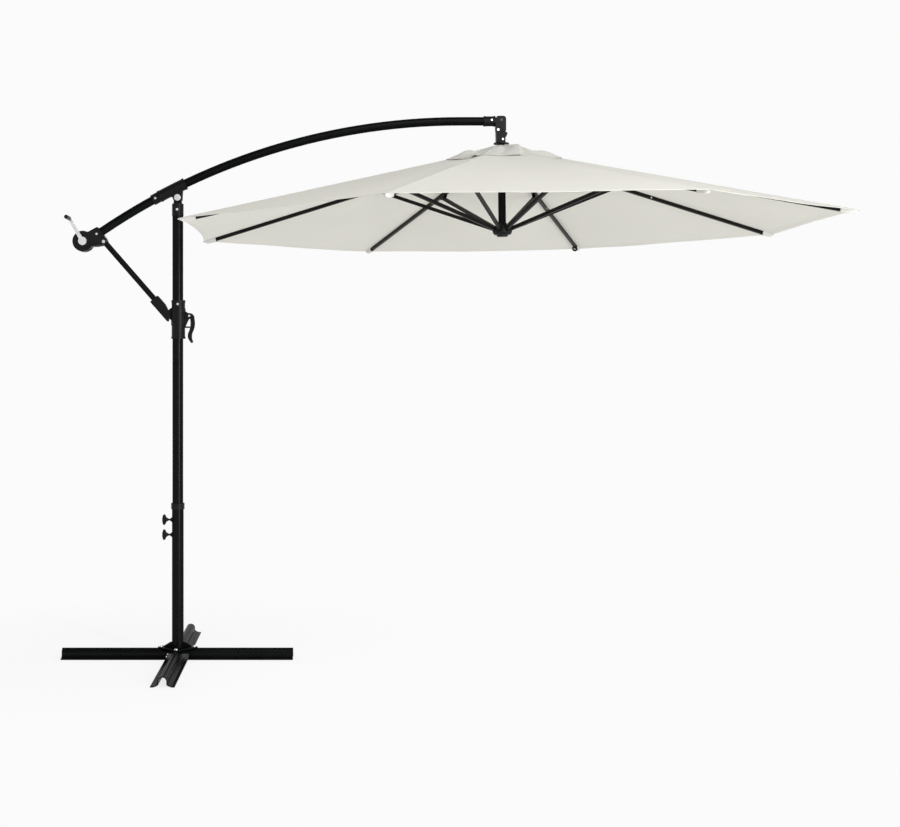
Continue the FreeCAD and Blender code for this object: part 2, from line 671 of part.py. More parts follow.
def make_runner():
    """Shallow bowl with a boss for the pole and two ears that carry the first stretcher."""
    z = runner_pivot_z
    low = z - 26
    floor = z - 9
    boss_top = z + 29
    bowl = rod(at(pole_x, 0, low), at(pole_x, 0, floor), runner_radius)
    bowl = soft_edges(bowl, 8, lambda e: outer_ring(e, runner_radius) and e.BoundBox.ZMax < floor - 1)
    boss = rod(at(pole_x, 0, low), at(pole_x, 0, boss_top), runner_boss_radius)
    hub = fused(bowl, boss).cut(rod(at(pole_x, 0, low + 12), at(pole_x, 0, boss_top + 1), pole_radius))
    near = pole_x + runner_boss_radius - 1
    pivot_x = pole_x + runner_pivot_radius
    ear = [(near, floor - 2), (pivot_x + 7, floor - 2), (pivot_x + 7, z + 2), (pivot_x + 3, z + 6),
           (pivot_x - 3, z + 6), (near, z + 2)]
    ear_inside = stretcher_width / 2 + 0.4
    ears = [plate_xz(ear, 2, ear_inside, ear_inside + 3), plate_xz(ear, 2, -ear_inside - 3, -ear_inside)]
    pin = pin_y(pivot_x, z, -ear_inside - 3, ear_inside + 3, hinge_pin_radius)
    hub = fused(hub, *[shape.rotated(hub_centre, Z_AXIS, rib_angles()[0]) for shape in ears + [pin]])
    hub = hub.cut(rod(at(pole_x, 0, low + 12), at(pole_x, 0, boss_top + 1), pole_radius))
    cap = rod(at(pole_x, 0, low - 7), at(pole_x, 0, low), 24)
    cap = soft_edges(cap, 5, lambda e: outer_ring(e, 24) and e.BoundBox.ZMax < low - 1)
    save("runner_hub", tilted(hub), tilted(cap))
    pole_top = rib_pivot_z - 12.5
    pole = tube(at(pole_x, 0, low + 12), at(pole_x, 0, pole_top), pole_radius, pole_radius - pole_wall)
    save("centre_pole", tilted(pole))


def rib_frame(distance, side, rise):
    """Point in a rib's own frame: distance along it, sideways, and rise above the hinge line."""
    a = math.radians(rib_slope)
    return radial(rib_pivot_radius + distance * math.cos(a) + rise * math.sin(a), side,
                  -distance * math.sin(a) + rise * math.cos(a))


def rib_plate(points, radius, y_from, y_to):
    """Outline in a rib's (distance, rise) plane, extruded sideways."""
    face = outline_face(points, radius, lambda a, b: rib_frame(a, y_from, b))
    return face.extrude(at(0, y_to - y_from, 0))


def make_rib(number, angle):
    half = rib_depth / 2
    low = -rib_drop - half
    high = -rib_drop + half
    box_outer = [(rib_start, low), (rib_end, low), (rib_end, high), (rib_start, high)]
    box_inner = [(rib_start + 14, low + rib_wall), (rib_end - 2, low + rib_wall),
                 (rib_end - 2, high - rib_wall), (rib_start + 14, high - rib_wall)]
    side = rib_width / 2
    rib = rib_plate(box_outer, 1.5, -side, side)
    rib = rib.cut(rib_plate(box_inner, 0.6, -side + rib_wall, side - rib_wall))
    lug = rib_plate([(-6, -3), (-3, 6), (5, 6), (rib_start + 12, high - 1), (rib_start + 12, low + 2),
                     (rib_start - 4, low + 2), (0, -8)], 3, -5, 5)
    rib = fused(rib, lug)
    eye = rod(rib_frame(0, -20, 0), rib_frame(0, 20, 0), hinge_pin_radius + pin_fit)
    rib = rib.cut(eye)
    reach = attach_distance
    clip = rib_plate([(reach - 26, high + 1), (reach + 26, high + 1), (reach + 26, low - 1.5),
                      (reach + 12, -attach_drop - rib_drop - 5), (reach - 8, -attach_drop - rib_drop - 7),
                      (reach - 26, low - 1.5)], 3, -side - 2, side + 2)
    clip = clip.cut(rib_plate([(reach - 30, low), (reach + 30, low), (reach + 30, high),
                               (reach - 30, high)], 1.5, -side, side))
    mouth = [(reach - 40, low - 1.5), (reach + 40, low - 1.5),
             (reach + 40, low - 60), (reach - 40, low - 60)]
    clip = clip.cut(rib_plate(mouth, 0.5, -stretcher_width / 2 - 0.4, stretcher_width / 2 + 0.4))
    centre = -attach_drop - rib_drop
    pin = rod(rib_frame(reach, -side - 2, centre), rib_frame(reach, side + 2, centre), hinge_pin_radius)
    clip = fused(clip, pin)
    tip = rib_plate([(rib_end - 22, low - 1), (rib_end + 16, low + 3), (rib_end + 16, high - 3),
                     (rib_end - 22, high + 0.6)], 3, -side - 1, side + 1)
    tip = tip.cut(rib_plate(box_outer, 1.5, -side, side))
    save("rib_%d" % number, turned(rib, angle), turned(clip, angle), turned(tip, angle))


def make_stretcher(number, angle):
    outer = rib_frame(attach_distance, 0, -attach_drop - rib_drop)
    inner = at(pole_x + runner_pivot_radius, 0, runner_pivot_z)
    slope = math.degrees(math.atan2(outer.z - inner.z, outer.x - inner.x))
    length = (outer - inner).Length
    half = stretcher_depth / 2

    def spot(distance, side):
        return along(inner.x, inner.z, slope, distance, side)

    side = stretcher_width / 2
    bar = plate_xz([spot(-6.5, -half), spot(length + 7, -half), spot(length + 7, half), spot(-6.5, half)],
                   stretcher_end_radius, -side, side)
    wall = stretcher_wall
    hollow = plate_xz([spot(16, -half + wall), spot(length - 16, -half + wall),
                       spot(length - 16, half - wall), spot(16, half - wall)], 1, -side + wall, side - wall)
    bar = bar.cut(hollow)
    bar = bar.cut(pin_y(outer.x, outer.z, -20, 20, hinge_pin_radius + pin_fit))
    if number == 1:
        bar = bar.cut(pin_y(inner.x, inner.z, -20, 20, hinge_pin_radius + pin_fit))
    save("stretcher_%d" % number, turned(bar, angle))


def fabric_sector(inner_radius, outer_radius, lift, dip):
    """One gore centred on a rib: two flat halves that fall away from the rib line."""
    half_angle = math.radians(180.0 / canopy_count)
    slope = math.tan(math.radians(rib_slope))
    ridge = rib_frame(0, 0, -rib_drop + rib_depth / 2 + fabric_lift)
    ridge_height = ridge.z - rib_pivot_z + (ridge.x - pole_x) * slope + lift
    gap = fabric_gap

    def on_rib(radius):
        return radial(radius, 0, ridge_height - radius * slope)

    def on_seam(radius, sign, dip_in):
        apothem = radius * math.cos(half_angle) - dip_in
        x = apothem * math.cos(half_angle)
        y = apothem * math.sin(half_angle) - gap
        height = ridge_height - slope * (x + y * math.tan(half_angle))
        return radial(x, sign * y, height)

    halves = []
    for sign in (-1, 1):
        corners = [on_rib(inner_radius), on_rib(outer_radius), on_seam(outer_radius, sign, dip),
                   on_seam(inner_radius, sign, 0)]
        below = [Vector(p.x, p.y, p.z) for p in corners]
        above = [Vector(p.x, p.y, p.z + fabric) for p in corners]
        faces = [Part.Face(Part.makePolygon(below + below[:1])),
                 Part.Face(Part.makePolygon(above + above[:1]))]
        for i in range(4):
            j = (i + 1) % 4
            faces.append(Part.Face(Part.makePolygon([below[i], below[j], above[j], above[i], below[i]])))
        halves.append(Part.Solid(Part.Shell(faces)))
    whole = halves[0].fuse(halves[1])
    return whole.removeSplitter()


def make_panel(number, angle):
    main = fabric_sector(150, canopy_radius, 0, 34)
    vent = fabric_sector(40, vent_radius, vent_rise, 0)
    save("canopy_panel_%d" % number, turned(main, angle), turned(vent, angle))


def main():
    os.makedirs("parts", exist_ok=True)
    make_base()
    make_base_tube()
    for level in knob_heights:
        make_knob(level)
    make_mast()
    make_arm_tubes()
    make_arm_joint()
    make_crank_housing()
    make_crank()
    make_arm_end()
    make_strut()
    make_slider()
    make_canopy_head()
    make_runner()
    for number, angle in enumerate(rib_angles(), 1):
        make_rib(number, angle)
        make_stretcher(number, angle)
        make_panel(number, angle)


main()
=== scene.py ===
import json
import math

import bmesh
import bpy
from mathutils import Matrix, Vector, noise


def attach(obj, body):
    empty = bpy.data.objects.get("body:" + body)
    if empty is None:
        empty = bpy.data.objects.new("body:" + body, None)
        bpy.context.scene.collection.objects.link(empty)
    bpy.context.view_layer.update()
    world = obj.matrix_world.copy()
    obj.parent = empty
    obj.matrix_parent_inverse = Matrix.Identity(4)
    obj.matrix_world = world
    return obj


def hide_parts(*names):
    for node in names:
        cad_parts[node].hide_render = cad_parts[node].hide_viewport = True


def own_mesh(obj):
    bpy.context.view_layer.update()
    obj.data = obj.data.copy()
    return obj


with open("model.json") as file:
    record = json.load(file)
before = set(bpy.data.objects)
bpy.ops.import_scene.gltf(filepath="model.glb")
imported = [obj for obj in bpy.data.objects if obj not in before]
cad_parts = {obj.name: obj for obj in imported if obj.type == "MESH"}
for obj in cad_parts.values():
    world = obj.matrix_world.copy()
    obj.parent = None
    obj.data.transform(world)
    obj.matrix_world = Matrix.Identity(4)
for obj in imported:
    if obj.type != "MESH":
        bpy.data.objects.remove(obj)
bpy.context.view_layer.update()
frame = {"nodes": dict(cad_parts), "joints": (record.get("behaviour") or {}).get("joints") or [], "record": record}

# Looks of the cantilever parasol. Metres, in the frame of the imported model.
nodes = frame["nodes"]
joints = {joint["name"]: joint for joint in frame["joints"]}
MM = 0.001

# ------------------------------------------------------------ the canopy's own frame
# Radii are from the canopy's column. RIDGE_HEIGHT is above a cone of the ribs' slope whose tip is level
# with the ribs' hinges.

RIB_COUNT = 8
RIBS = range(1, RIB_COUNT + 1)
FOLD_JOINTS = {i: "canopy_close" if i == 1 else "rib_%d_fold" % i for i in RIBS}
rib_pivots = {i: Vector(joints[FOLD_JOINTS[i]]["pos_m"]) for i in RIBS}
rib_sides = {i: Vector(joints[FOLD_JOINTS[i]]["axis"]).normalized() for i in RIBS}
hub = sum(rib_pivots.values(), Vector()) / RIB_COUNT
rib_ways = {i: (rib_pivots[i] - hub).normalized() for i in RIBS}
PIVOT_RADIUS = (rib_pivots[1] - hub).length
UP = rib_ways[1].cross(rib_sides[1]).normalized()

HALF_ANGLE = math.pi / RIB_COUNT
RIB_SLOPE = math.radians(13.2)
CANOPY_RADIUS = 1.5
APOTHEM = CANOPY_RADIUS * math.cos(HALF_ANGLE)
RIDGE_HEIGHT = 11.2 * MM
HEM_DIP = 30 * MM
HEM_WIDTH = 22 * MM
HEM_SAG = 10 * MM
HEM_SAG_FAR = 6 * MM
PANEL_SAG = 13 * MM
CLOTH = 1.0 * MM
SEAM_CLOTH = 2.0 * MM
EDGE_CLOTH = 0.8 * MM
CLOTH_INNER = 150 * MM
VENT_INNER = 37 * MM
VENT_RADIUS = 277 * MM
VENT_LIFT_COLUMN = 17.6 * MM
VENT_LIFT_RIM = 2.6 * MM


def on_rib(number, distance, side, rise):
    """Point in a rib's own frame: along it from its hinge, sideways, and above the hinge line."""
    along = distance * math.cos(RIB_SLOPE) + rise * math.sin(RIB_SLOPE)
    height = rise * math.cos(RIB_SLOPE) - distance * math.sin(RIB_SLOPE)
    return hub + rib_ways[number] * (PIVOT_RADIUS + along) + rib_sides[number] * side + UP * height


# ------------------------------------------------------------ material helpers

def new_material(name):
    material = bpy.data.materials.new(name)
    material.use_nodes = True
    return material, material.node_tree, material.node_tree.nodes["Principled BSDF"]


def plug(tree, socket, value):
    """Links a socket to another, or sets its plain value."""
    if isinstance(value, bpy.types.NodeSocket):
        tree.links.new(value, socket)
    else:
        socket.default_value = value


def calc(tree, operation, first, second=None, third=None):
    made = tree.nodes.new("ShaderNodeMath")
    made.operation = operation
    for socket, value in zip(made.inputs, (first, second, third)):
        if value is not None:
            plug(tree, socket, value)
    return made.outputs[0]


def noise_at(tree, where, scale, detail, roughness=0.5):
    made = tree.nodes.new("ShaderNodeTexNoise")
    made.inputs["Scale"].default_value = scale
    made.inputs["Detail"].default_value = detail
    made.inputs["Roughness"].default_value = roughness
    tree.links.new(where, made.inputs["Vector"])
    return made.outputs["Fac"]


def stretched(tree, where, scale):
    made = tree.nodes.new("ShaderNodeMapping")
    made.inputs["Scale"].default_value = scale
    tree.links.new(where, made.inputs["Vector"])
    return made.outputs["Vector"]


def ramp(tree, value, stops):
    """Colour from a 0 to 1 value through (place, colour) stops."""
    made = tree.nodes.new("ShaderNodeValToRGB")
    steps = made.color_ramp.elements
    while len(steps) < len(stops):
        steps.new(0.5)
    for step, (place, colour) in zip(steps, stops):
        step.position = place
        step.color = (*colour, 1.0)
    tree.links.new(value, made.inputs["Fac"])
    return made.outputs["Color"]


def between(tree, share, low, high):
    """Number that goes from low to high as share goes from 0 to 1."""
    return calc(tree, "MULTIPLY_ADD", share, high - low, low)


def mixed(tree, share, first, second):
    made = tree.nodes.new("ShaderNodeMix")
    made.data_type = "RGBA"
    plug(tree, made.inputs[0], share)
    for socket, value in ((made.inputs[6], first), (made.inputs[7], second)):
        plug(tree, socket, value if isinstance(value, bpy.types.NodeSocket) else (*value, 1.0))
    return made.outputs[2]


def bumped(tree, height, distance, strength, normal=None):
    made = tree.nodes.new("ShaderNodeBump")
    made.inputs["Strength"].default_value = strength
    made.inputs["Distance"].default_value = distance
    tree.links.new(height, made.inputs["Height"])
    if normal is not None:
        tree.links.new(normal, made.inputs["Normal"])
    return made.outputs["Normal"]


def surface_mix(tree, share, first, second):
    """Makes the surface a mix of two shaders: the first at share 0, the second at 1."""
    join = tree.nodes.new("ShaderNodeMixShader")
    plug(tree, join.inputs[0], share)
    tree.links.new(first, join.inputs[1])
    tree.links.new(second, join.inputs[2])
    tree.links.new(join.outputs[0], tree.nodes["Material Output"].inputs["Surface"])


def place_in_object(tree):
    return tree.nodes.new("ShaderNodeTexCoord").outputs["Object"]


def rounded_normal(tree, radius):
    made = tree.nodes.new("ShaderNodeBevel")
    made.samples = 4
    made.inputs["Radius"].default_value = radius
    return made.outputs["Normal"]


EDGE_GAIN = 3.0


def edge_share(tree, radius):
    """0 on flat ground, towards 1 at an edge, from how far a rounded normal turns away."""
    facing = tree.nodes.new("ShaderNodeVectorMath")
    facing.operation = "DOT_PRODUCT"
    tree.links.new(rounded_normal(tree, radius), facing.inputs[0])
    tree.links.new(tree.nodes.new("ShaderNodeNewGeometry").outputs["Normal"], facing.inputs[1])
    turned_away = calc(tree, "SUBTRACT", 1.0, facing.outputs["Value"])
    made = calc(tree, "MULTIPLY", turned_away, EDGE_GAIN)
    return calc(tree, "MINIMUM", made, 1.0)


# ------------------------------------------------------------ materials

# Share of an even gloss that does not grow at grazing angles, where the bars would turn pale.
COAT_GLOSS = 0.0075


def powder_coat():
    """Satin black powder coat: fine orange peel, faint dust, edges rubbed a little lighter."""
    material, tree, shader = new_material("powder_coat")
    where = place_in_object(tree)
    patches = noise_at(tree, where, 7.0, 5.0, 0.6)
    body = ramp(tree, patches, ((0.3, (0.0013, 0.0015, 0.0016)), (0.7, (0.0030, 0.0034, 0.0035))))
    scuffs = noise_at(tree, where, 60.0, 4.0, 0.7)
    worn = calc(tree, "MULTIPLY", edge_share(tree, 1.2 * MM), between(tree, scuffs, 0.1, 0.8))
    plug(tree, shader.inputs["Base Color"], mixed(tree, worn, body, (0.030, 0.031, 0.032)))
    rough = between(tree, patches, 0.22, 0.32)
    plug(tree, shader.inputs["Roughness"], rough)
    shader.inputs["IOR"].default_value = 1.05
    peel = noise_at(tree, where, 700.0, 2.0, 0.5)
    normal = bumped(tree, peel, 0.03 * MM, 0.35, rounded_normal(tree, 0.8 * MM))
    plug(tree, shader.inputs["Normal"], normal)
    sheen = tree.nodes.new("ShaderNodeBsdfGlossy")
    plug(tree, sheen.inputs["Roughness"], rough)
    plug(tree, sheen.inputs["Normal"], normal)
    surface_mix(tree, COAT_GLOSS, shader.outputs[0], sheen.outputs[0])
    return material


def rib_coat():
    """Thin matt black coat on drawn tube, with a faint fine grain."""
    material, tree, shader = new_material("rib_coat")
    where = place_in_object(tree)
    patches = noise_at(tree, where, 12.0, 4.0, 0.6)
    body = ramp(tree, patches, ((0.3, (0.0045, 0.0042, 0.0036)), (0.75, (0.0100, 0.0094, 0.0080))))
    scuffs = noise_at(tree, where, 90.0, 3.0, 0.7)
    worn = calc(tree, "MULTIPLY", edge_share(tree, 0.9 * MM), between(tree, scuffs, 0.0, 0.7))
    plug(tree, shader.inputs["Base Color"], mixed(tree, worn, body, (0.040, 0.039, 0.036)))
    plug(tree, shader.inputs["Roughness"], between(tree, patches, 0.36, 0.50))
    shader.inputs["Specular IOR Level"].default_value = 0.12
    grain = noise_at(tree, where, 500.0, 2.0, 0.5)
    plug(tree, shader.inputs["Normal"], bumped(tree, grain, 0.03 * MM, 0.3, rounded_normal(tree, 0.8 * MM)))
    return material


def moulded_plastic(name, dark, light, rough_low, rough_high):
    """Spark-textured moulded plastic, a little paler where hands and the weather rub it."""
    material, tree, shader = new_material(name)
    where = place_in_object(tree)
    patches = noise_at(tree, where, 18.0, 4.0, 0.55)
    body = ramp(tree, patches, ((0.3, dark), (0.72, light)))
    scuffs = noise_at(tree, where, 110.0, 3.0, 0.7)
    worn = calc(tree, "MULTIPLY", edge_share(tree, 1.5 * MM), between(tree, scuffs, 0.05, 0.6))
    paler = tuple(channel * 3 + 0.006 for channel in light)
    plug(tree, shader.inputs["Base Color"], mixed(tree, worn, body, paler))
    plug(tree, shader.inputs["Roughness"], between(tree, patches, rough_low, rough_high))
    shader.inputs["Specular IOR Level"].default_value = 0.12
    spark = tree.nodes.new("ShaderNodeTexVoronoi")
    spark.inputs["Scale"].default_value = 1400.0
    tree.links.new(where, spark.inputs["Vector"])
    normal = bumped(tree, spark.outputs["Distance"], 0.05 * MM, 0.3, rounded_normal(tree, 1.2 * MM))
    plug(tree, shader.inputs["Normal"], normal)
    return material


def bright_metal(name, dark, light, rough, brush):
    """Zinc plate or brushed alloy, with fine brush lines across the piece."""
    material, tree, shader = new_material(name)
    where = place_in_object(tree)
    lines = noise_at(tree, stretched(tree, where, brush), 900.0, 2.0, 0.6)
    patches = noise_at(tree, where, 45.0, 4.0, 0.6)
    share = calc(tree, "MULTIPLY_ADD", lines, 0.4, calc(tree, "MULTIPLY", patches, 0.6))
    plug(tree, shader.inputs["Base Color"], ramp(tree, share, ((0.3, dark), (0.7, light))))
    plug(tree, shader.inputs["Roughness"], between(tree, patches, rough, rough + 0.14))
    shader.inputs["Metallic"].default_value = 1.0
    plug(tree, shader.inputs["Normal"], bumped(tree, lines, 0.02 * MM, 0.3, rounded_normal(tree, 0.7 * MM)))
    return material


WEAVE_PITCH = 0.8 * MM
STITCH_PITCH = 4.5 * MM
STITCH_SHARE = 0.72
THREAD_HALF = 0.6 * MM
RIDGE_STITCHES = 3.2 * MM
HEM_STITCHES = (HEM_WIDTH - 3 * MM, 4 * MM)
LIGHT_THROUGH = 0.27


def stripe(tree, value, pitch):
    """Smooth wave of a distance in metres, from 0 to 1."""
    turn = calc(tree, "MULTIPLY", value, 2 * math.pi / pitch)
    return calc(tree, "MULTIPLY_ADD", calc(tree, "SINE", turn), 0.5, 0.5)


def stitch_row(tree, along, across, at):
    """1 on the stitches of a row that runs along, at a distance across from the line."""
    near = calc(tree, "COMPARE", calc(tree, "ABSOLUTE", across), at, THREAD_HALF)
    turn = calc(tree, "FRACT", calc(tree, "DIVIDE", along, STITCH_PITCH))
    return calc(tree, "MULTIPLY", near, calc(tree, "LESS_THAN", turn, STITCH_SHARE))


def uv_pair(tree, layer):
    made = tree.nodes.new("ShaderNodeUVMap")
    made.uv_map = layer
    split = tree.nodes.new("ShaderNodeSeparateXYZ")
    tree.links.new(made.outputs["UV"], split.inputs["Vector"])
    return split.outputs["X"], split.outputs["Y"]


def canopy_cloth():
    """Ivory polyester: plain weave, slubs, faint cloudiness, sewn rows along ridge seam and hem."""
    material, tree, shader = new_material("canopy_cloth")
    where = place_in_object(tree)
    across, along = uv_pair(tree, "cloth")
    hem_along, hem_in = uv_pair(tree, "hem")
    clouds = noise_at(tree, where, 2.6, 4.0, 0.55)
    body = ramp(tree, clouds, ((0.25, (0.708, 0.708, 0.684)), (0.75, (0.755, 0.755, 0.734))))
    slubs = noise_at(tree, stretched(tree, where, (30.0, 500.0, 30.0)), 1.0, 3.0, 0.7)
    body = mixed(tree, between(tree, slubs, 0.0, 0.16), body, (0.60, 0.585, 0.52))
    warp = stripe(tree, across, WEAVE_PITCH)
    weft = stripe(tree, along, WEAVE_PITCH)
    weave = calc(tree, "MULTIPLY", warp, weft)
    body = mixed(tree, between(tree, weave, 0.0, 0.10), body, (0.56, 0.55, 0.49))
    rows = stitch_row(tree, along, across, RIDGE_STITCHES)
    for at in HEM_STITCHES:
        rows = calc(tree, "ADD", rows, stitch_row(tree, hem_along, hem_in, at))
    rows = calc(tree, "MINIMUM", rows, 1.0)
    body = mixed(tree, calc(tree, "MULTIPLY", rows, 0.55), body, (0.42, 0.41, 0.36))
    plug(tree, shader.inputs["Base Color"], body)
    plug(tree, shader.inputs["Roughness"], between(tree, clouds, 0.78, 0.88))
    shader.inputs["Specular IOR Level"].default_value = 0.25
    shader.inputs["Sheen Weight"].default_value = 0.25
    shader.inputs["Sheen Roughness"].default_value = 0.5
    height = calc(tree, "MULTIPLY_ADD", rows, -1.5, weave)
    plug(tree, shader.inputs["Normal"], bumped(tree, height, 0.12 * MM, 0.35))
    glow = tree.nodes.new("ShaderNodeBsdfTranslucent")
    plug(tree, glow.inputs["Color"], mixed(tree, 0.8, body, (0.84, 0.78, 0.54)))
    surface_mix(tree, LIGHT_THROUGH, shader.outputs[0], glow.outputs[0])
    return material


POWDER = powder_coat()
RIB_BLACK = rib_coat()
PLASTIC = moulded_plastic("black_plastic_moulded", (0.0035, 0.0035, 0.0036), (0.0080, 0.0080, 0.0078),
                          0.34, 0.46)
INNER = moulded_plastic("inner_plastic_moulded", (0.05, 0.05, 0.05), (0.09, 0.09, 0.09), 0.5, 0.65)
ZINC = bright_metal("zinc_plate", (0.62, 0.62, 0.63), (0.84, 0.84, 0.85), 0.24, (1.0, 1.0, 6.0))
SILVER = bright_metal("silver_crank", (0.66, 0.67, 0.69), (0.84, 0.85, 0.87), 0.3, (6.0, 1.0, 1.0))
CLOTH_MATERIAL = canopy_cloth()

FINISHES = {"black_steel": POWDER, "black_tube": POWDER, "rib_alloy": RIB_BLACK, "black_plastic": PLASTIC,
            "inner_plastic": INNER, "zinc": ZINC, "silver_metal": SILVER, "canopy_fabric": CLOTH_MATERIAL}


def finish_cad_nodes():
    """Gives each CAD node the material of its slot."""
    for part in frame["record"]["subparts"]:
        mesh = nodes[part["node"]].data
        mesh.materials.clear()
        mesh.materials.append(FINISHES[part["material_slot"]])


# ------------------------------------------------------------ cloth

RIM_ANGLE = math.radians(50)


def smoothed(mesh):
    """Turns the faces outward and shades them smooth, except over edges sharper than RIM_ANGLE."""
    bmesh.ops.recalc_face_normals(mesh, faces=mesh.faces)
    for edge in mesh.edges:
        edge.smooth = edge.calc_face_angle(0.0) < RIM_ANGLE
    for face in mesh.faces:
        face.smooth = True


def finished(name, mesh, material):
    """Turns a bmesh into an object in the scene."""
    data = bpy.data.meshes.new(name)
    mesh.to_mesh(data)
    mesh.free()
    data.materials.append(material)
    made = bpy.data.objects.new(name, data)
    bpy.context.scene.collection.objects.link(made)
    return made


def closed_sheet(name, grid):
    """Thin closed sheet. A grid entry is (middle point, half thickness, cloth place, hem place)."""
    mesh = bmesh.new()
    cloth_layer = mesh.loops.layers.uv.new("cloth")
    hem_layer = mesh.loops.layers.uv.new("hem")
    facts = {}
    sides = []
    for sign in (1, -1):
        side = []
        for row in grid:
            line = []
            for middle, half, cloth_uv, hem_uv in row:
                vertex = mesh.verts.new(middle + UP * half * sign)
                facts[vertex] = (cloth_uv, hem_uv)
                line.append(vertex)
            side.append(line)
        sides.append(side)
    top, bottom = sides
    last_row, last_column = len(grid) - 1, len(grid[0]) - 1
    for i in range(last_row):
        for j in range(last_column):
            mesh.faces.new((top[i][j], top[i + 1][j], top[i + 1][j + 1], top[i][j + 1]))
            mesh.faces.new((bottom[i][j], bottom[i][j + 1], bottom[i + 1][j + 1], bottom[i + 1][j]))
    for i in range(last_row):
        mesh.faces.new((top[i][0], bottom[i][0], bottom[i + 1][0], top[i + 1][0]))
        j = last_column
        mesh.faces.new((top[i][j], top[i + 1][j], bottom[i + 1][j], bottom[i][j]))
    for j in range(last_column):
        mesh.faces.new((top[0][j], top[0][j + 1], bottom[0][j + 1], bottom[0][j]))
        i = last_row
        mesh.faces.new((top[i][j], bottom[i][j], bottom[i][j + 1], top[i][j + 1]))
    smoothed(mesh)
    for face in mesh.faces:
        for loop in face.loops:
            loop[cloth_layer].uv, loop[hem_layer].uv = facts[loop.vert]
    return finished(name, mesh, CLOTH_MATERIAL)


SEAM_WIDTH = 5.5 * MM
SEAM_STEPS = (0.0, 2.5 * MM, 5.0 * MM, 6.2 * MM)
HEM_STEPS = (HEM_WIDTH + 1.5 * MM, HEM_WIDTH, HEM_WIDTH / 2, 1.5 * MM, 0.0)
ROUNDING = 0.1 * MM
PANEL_COLUMNS = 14
CLOTH_ROWS = 40
# (scale of the noise per metre, height)
RIPPLES = ((3.1, 2.6 * MM), (11.0, 0.7 * MM))


def columns_from_rib(reach):
    """Distances from the rib line to the middle of the panel: close over the seam, then even."""
    start = SEAM_STEPS[-1]
    even = [start + (reach - start) * k / PANEL_COLUMNS for k in range(1, PANEL_COLUMNS + 1)]
    return list(SEAM_STEPS) + even


def compass(point):
    """Angle of a point round the column."""
    return math.atan2(point.y - hub.y, point.x - hub.x)


def panel_sag(point, outward, share):
    """How far the cloth hangs below the flat panel. share is 1 on the rib and 0 at mid-panel."""
    slack = HEM_SAG + HEM_SAG_FAR * math.sin(compass(point))
    hang = slack * outward ** 2 + PANEL_SAG * math.sin(math.pi * min(outward, 1.0))
    return hang * (1 - share * share)


def ripple(point, outward, share):
    """Slight unevenness of stretched cloth, stronger towards the hem and away from the ribs."""
    uneven = sum(noise.noise(point * scale) * height for scale, height in RIPPLES)
    return uneven * (1 - share ** 4) * (0.35 + 0.65 * outward)


def panel_point(number, sign, outward, distance, share):
    """Point of the panel beside a rib: distance from the hub towards mid-panel, share 1 on the rib."""
    middle_way = rib_ways[number] * math.cos(HALF_ANGLE) + rib_sides[number] * sign * math.sin(HALF_ANGLE)
    rib_side = rib_ways[number] * math.sin(HALF_ANGLE) - rib_sides[number] * sign * math.cos(HALF_ANGLE)
    flat = hub + middle_way * distance + rib_side * (share * distance * math.tan(HALF_ANGLE))
    drop = math.tan(RIB_SLOPE) * distance / math.cos(HALF_ANGLE) + panel_sag(flat, outward, share)
    return flat + UP * (RIDGE_HEIGHT - drop + ripple(flat, outward, share))


def canopy_rows():
    """(share of the way out, distance in from the hem or None) for each row of the cloth."""
    rows = [(k / CLOTH_ROWS, None) for k in range(CLOTH_ROWS)]
    return rows + [(1.0, step) for step in HEM_STEPS]


def sector_half_row(number, sign, outward, step):
    """Grid entries from the rib line to mid-panel, on one side of a rib."""
    start = CLOTH_INNER * math.cos(HALF_ANGLE)
    reach = (start + (APOTHEM - start) * outward) * math.tan(HALF_ANGLE)
    half_row = []
    for from_rib in columns_from_rib(reach):
        share = 1 - from_rib / reach
        edge = APOTHEM - HEM_DIP * (1 - share * share)
        if step is None:
            distance = start + (edge - HEM_STEPS[0] - start) * outward
        else:
            distance = edge - step
        in_hem = edge - distance < HEM_WIDTH + ROUNDING
        in_seam = from_rib < SEAM_WIDTH
        half = (SEAM_CLOTH if in_hem or in_seam else CLOTH) / 2
        if step == 0.0:
            half = EDGE_CLOTH / 2
        point = panel_point(number, sign, distance / APOTHEM, distance, share)
        cloth_place = (sign * from_rib, distance)
        hem_place = (share * reach, edge - distance)
        half_row.append((point, half, cloth_place, hem_place))
    return half_row


def whole_row(left, right):
    """Joins two half rows that both start on the rib line."""
    return left[:0:-1] + right


def make_canopy_sector(number):
    grid = [whole_row(*[sector_half_row(number, sign, outward, step) for sign in (-1, 1)])
            for outward, step in canopy_rows()]
    return closed_sheet("canopy_gore_%d" % number, grid)


VENT_COLUMNS = 20
VENT_ROWS = 18
VENT_SEAM_AT = 0.96
# Angle at the rim, width before and after it, place on the way out, spread along it, height in mm, and how
# far the fold turns on its way in to the column. Angles and widths are in degrees.
VENT_FOLDS = (
    (-146, 10, 9, 0.72, 0.20, 24, 0),
    (-127, 5, 3, 0.75, 0.30, -3, 0),
    (-123, 4, 3.5, 1.0, 0.20, 10, 0),
    (-106, 12, 7, 0.46, 0.30, 13, 10),
    (-98, 4, 3, 0.70, 0.35, -3, 15),
    (-80, 16, 2.0, 0.50, 0.40, 22, 26),
    (-73, 3, 5, 0.65, 0.30, -3, 28),
    (-42, 9, 14, 0.36, 0.26, 11, 0),
    (-28, 12, 9, 0.74, 0.19, 17, 0),
    (48, 14, 10, 0.75, 0.30, 12, 0),
    (118, 12, 16, 0.80, 0.30, 14, 0))
# (height in mm, count round the cap, shift)
VENT_CREASES = ((1.3, 9, 2.1), (0.9, 14, 0.0), (0.6, 23, 1.0))


def bell(offset, width):
    return math.exp(-(offset / width) ** 2)


